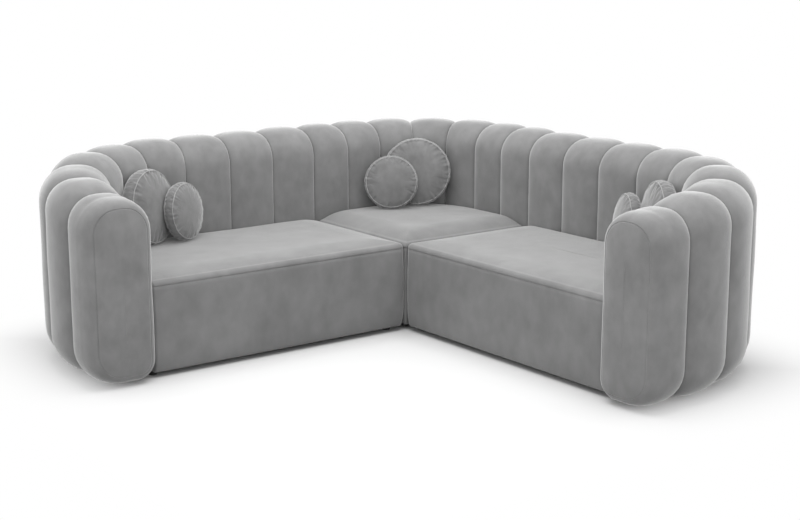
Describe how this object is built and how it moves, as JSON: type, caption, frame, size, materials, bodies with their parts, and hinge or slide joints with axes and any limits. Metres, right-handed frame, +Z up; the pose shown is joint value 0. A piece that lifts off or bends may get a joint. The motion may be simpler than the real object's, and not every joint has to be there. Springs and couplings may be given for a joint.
{
  "type": "corner sofa",
  "caption": "L-shaped corner sofa with fat upright channels on a curved back and arms, three flat-topped seats and round scatter cushions.",
  "frame": {"origin": "floor level, under the centre of the outside square of the L", "axes": "+Z up; +X and +Y point from the open side of the L to its two backs, so the outer corner is at +X +Y and the seats face -Y (left wing) and -X (right wing)"},
  "size_m": [2.6841, 2.6841, 0.882],
  "materials": {
    "velvet": "short-pile velvet with a soft sheen and a brushed, mottled nap",
    "foam": "open-cell foam",
    "webbing": "woven elastic webbing",
    "dust_fabric": "thin black non-woven",
    "timber": "sawn softwood and board, unfinished",
    "zinc_steel": "zinc-plated",
    "glide_plastic": "moulded, satin"
  },
  "bodies": {
    "corner_module": {"corner_rib_1": "velvet", "corner_rib_2": "velvet", "corner_rib_3": "velvet", "corner_rib_4": "velvet", "corner_rib_5": "velvet", "corner_rib_6": "velvet", "corner_rib_7": "velvet", "corner_seat_cover": "velvet", "corner_seat_foam": "foam", "corner_wall_frame": "timber", "corner_base_frame": "timber", "corner_frame_bolts": "zinc_steel", "corner_seat_webbing": "webbing", "corner_glides": "glide_plastic", "corner_dust_cover": "dust_fabric", "corner_connector_pins": "zinc_steel"},
    "left_module": {"left_rib_1": "velvet", "left_rib_2": "velvet", "left_rib_3": "velvet", "left_rib_4": "velvet", "left_rib_5": "velvet", "left_rib_6": "velvet", "left_rib_7": "velvet", "left_rib_8": "velvet", "left_rib_9": "velvet", "left_arm_front_panel": "velvet", "left_seat_cover": "velvet", "left_seat_foam": "foam", "left_wall_frame": "timber", "left_base_frame": "timber", "left_frame_bolts": "zinc_steel", "left_seat_webbing": "webbing", "left_glides": "glide_plastic", "left_dust_cover": "dust_fabric", "left_connector_jaws": "zinc_steel"},
    "right_module": {"right_rib_1": "velvet", "right_rib_2": "velvet", "right_rib_3": "velvet", "right_rib_4": "velvet", "right_rib_5": "velvet", "right_rib_6": "velvet", "right_rib_7": "velvet", "right_rib_8": "velvet", "right_rib_9": "velvet", "right_arm_front_panel": "velvet", "right_seat_cover": "velvet", "right_seat_foam": "foam", "right_wall_frame": "timber", "right_base_frame": "timber", "right_frame_bolts": "zinc_steel", "right_seat_webbing": "webbing", "right_glides": "glide_plastic", "right_dust_cover": "dust_fabric", "right_connector_jaws": "zinc_steel"},
    "left_big_cushion_body": {"left_big_cushion": "velvet"},
    "left_small_cushion_body": {"left_small_cushion": "velvet"},
    "corner_big_cushion_body": {"corner_big_cushion": "velvet"},
    "corner_small_cushion_body": {"corner_small_cushion": "velvet"},
    "right_big_cushion_body": {"right_big_cushion": "velvet"},
    "right_small_cushion_body": {"right_small_cushion": "velvet"}
  },
  "joints": [
    {"name": "left_module_slide", "type": "slide", "parent": "corner_module", "child": "left_module", "axis": [-1, 0, 0], "range_m": [0, 0.35]},
    {"name": "right_module_slide", "type": "slide", "parent": "corner_module", "child": "right_module", "axis": [0, -1, 0], "range_m": [0, 0.35]},
    {"name": "left_big_cushion_lift", "type": "slide", "parent": "left_module", "child": "left_big_cushion_body", "axis": [0, 0, 1], "range_m": [0, 0.3]},
    {"name": "left_small_cushion_lift", "type": "slide", "parent": "left_big_cushion_body", "child": "left_small_cushion_body", "axis": [0, 0, 1], "range_m": [0, 0.3]},
    {"name": "corner_big_cushion_lift", "type": "slide", "parent": "corner_module", "child": "corner_big_cushion_body", "axis": [0, 0, 1], "range_m": [0, 0.3]},
    {"name": "corner_small_cushion_lift", "type": "slide", "parent": "corner_big_cushion_body", "child": "corner_small_cushion_body", "axis": [0, 0, 1], "range_m": [0, 0.3]},
    {"name": "right_big_cushion_lift", "type": "slide", "parent": "right_module", "child": "right_big_cushion_body", "axis": [0, 0, 1], "range_m": [0, 0.3]},
    {"name": "right_small_cushion_lift", "type": "slide", "parent": "right_big_cushion_body", "child": "right_small_cushion_body", "axis": [0, 0, 1], "range_m": [0, 0.3]}
  ]
}
